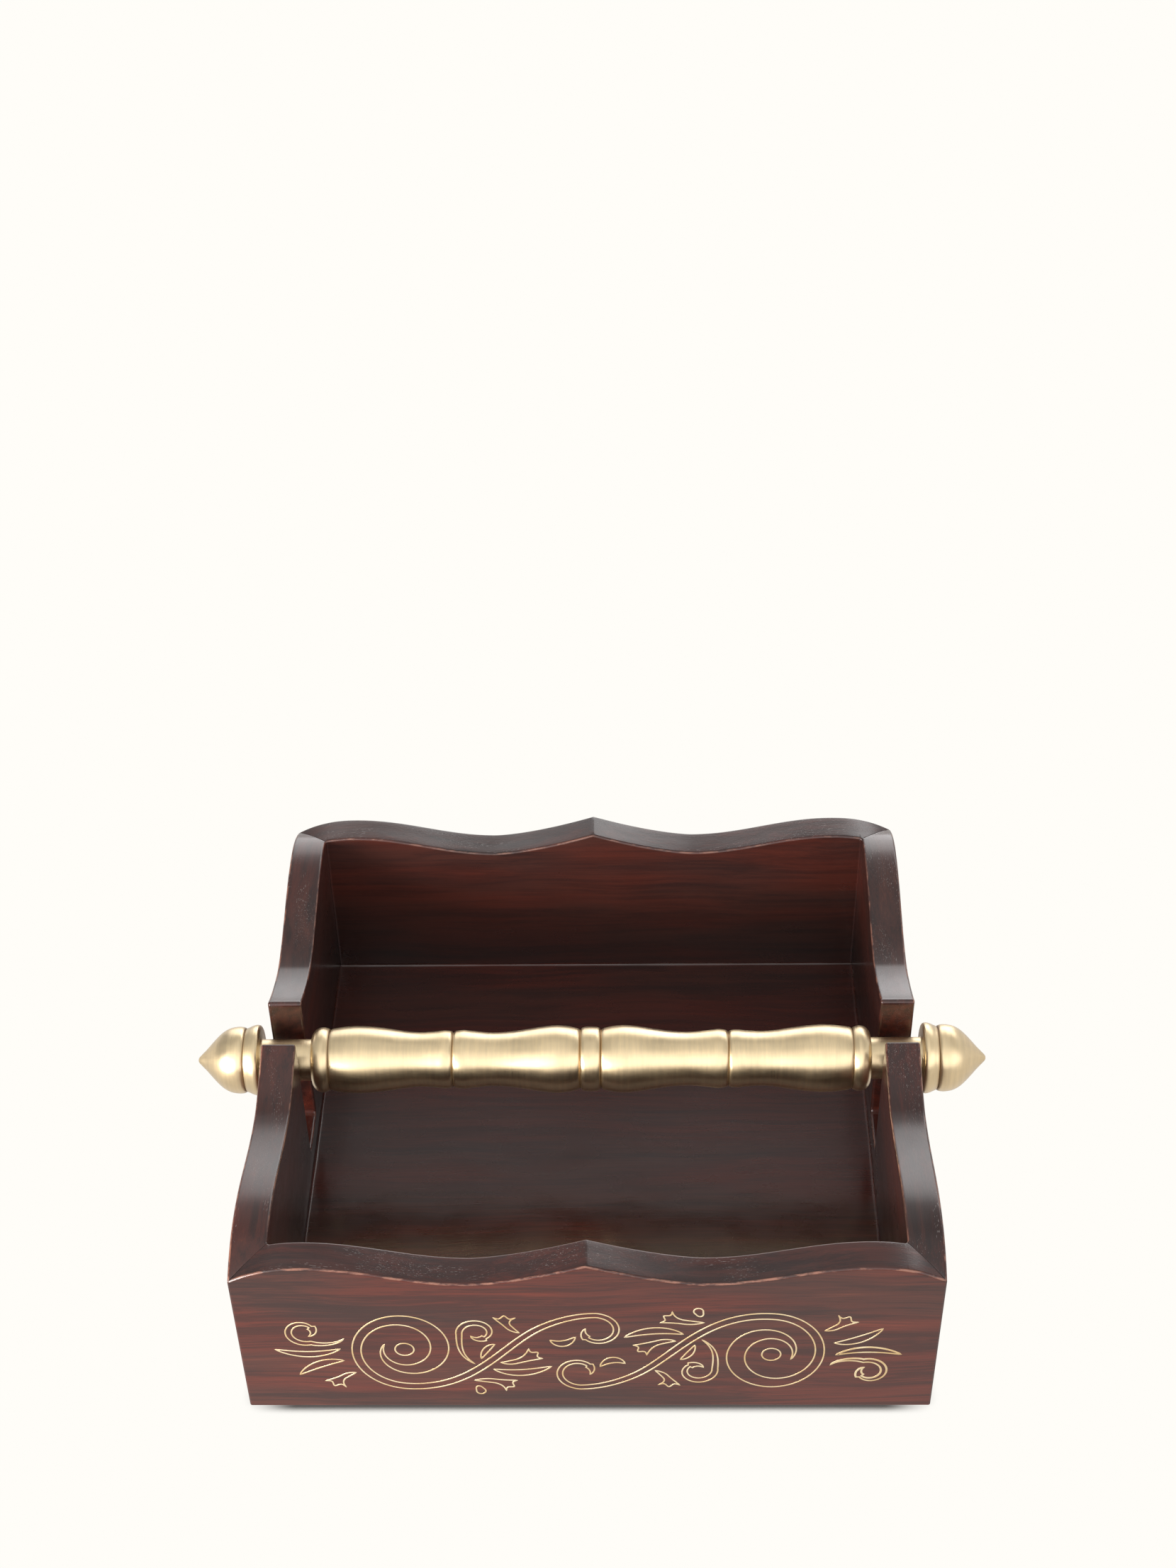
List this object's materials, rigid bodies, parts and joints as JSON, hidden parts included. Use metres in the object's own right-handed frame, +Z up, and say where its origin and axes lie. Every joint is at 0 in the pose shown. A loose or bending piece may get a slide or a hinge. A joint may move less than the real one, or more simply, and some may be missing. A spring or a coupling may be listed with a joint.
{
  "type": "napkin holder",
  "caption": "Square mitred wooden tray with scalloped walls, a brass scroll inlay and a turned brass weight bar that slides in open side slots.",
  "frame": {"origin": "on the surface it stands on, under the middle of the box", "axes": "+Z up; X along the weight bar; the inlaid front wall faces -Y"},
  "size_m": [0.2442, 0.2, 0.062],
  "materials": {
    "dark_rosewood": "dark red-brown stain under satin-gloss varnish, horizontal grain",
    "stained_board": "stained plywood under satin varnish",
    "satin_brass": "satin, lathe-brushed, lacquered",
    "inlay_brass": "flush strip, sanded with the wood",
    "steel_rod": "plain threaded rod",
    "base_felt": "thin wool felt"
  },
  "bodies": {
    "tray": {"front_panel": "dark_rosewood", "back_panel": "dark_rosewood", "left_panel": "dark_rosewood", "right_panel": "dark_rosewood", "floor_panel": "stained_board", "base_felt": "base_felt", "inlay_left_stem": "inlay_brass", "inlay_left_tendril_outer": "inlay_brass", "inlay_left_leaf_long": "inlay_brass", "inlay_left_leaf_middle": "inlay_brass", "inlay_left_leaf_low": "inlay_brass", "inlay_left_tendril_inner": "inlay_brass", "inlay_left_leaf_rising": "inlay_brass", "inlay_left_leaf_inner": "inlay_brass", "inlay_left_leaf_upper": "inlay_brass", "inlay_left_leaf_lower": "inlay_brass", "inlay_left_leaf_hanging": "inlay_brass", "inlay_left_leaf_heart": "inlay_brass", "inlay_left_eye": "inlay_brass", "inlay_left_bud": "inlay_brass", "inlay_right_stem": "inlay_brass", "inlay_right_tendril_outer": "inlay_brass", "inlay_right_leaf_long": "inlay_brass", "inlay_right_leaf_middle": "inlay_brass", "inlay_right_leaf_low": "inlay_brass", "inlay_right_tendril_inner": "inlay_brass", "inlay_right_leaf_rising": "inlay_brass", "inlay_right_leaf_inner": "inlay_brass", "inlay_right_leaf_upper": "inlay_brass", "inlay_right_leaf_lower": "inlay_brass", "inlay_right_leaf_hanging": "inlay_brass", "inlay_right_leaf_heart": "inlay_brass", "inlay_right_eye": "inlay_brass", "inlay_right_bud": "inlay_brass"},
    "bar_rod": {"core_rod": "steel_rod"},
    "weight_bar": {"centre_bead": "satin_brass", "inner_barrel_left": "satin_brass", "inner_barrel_right": "satin_brass", "outer_barrel_left": "satin_brass", "outer_barrel_right": "satin_brass", "collar_bead_left": "satin_brass", "collar_bead_right": "satin_brass", "journal_left": "satin_brass", "journal_right": "satin_brass", "finial_left": "satin_brass", "finial_right": "satin_brass"}
  },
  "joints": [
    {"name": "bar_lift", "type": "slide", "parent": "tray", "child": "bar_rod", "axis": [0, 0, 1], "range_m": [-0.0252, 0.035]},
    {"name": "bar_roll", "type": "hinge", "parent": "bar_rod", "child": "weight_bar", "pos_m": [0, 0, 0.0451], "axis": [1, 0, 0], "continuous": true}
  ]
}
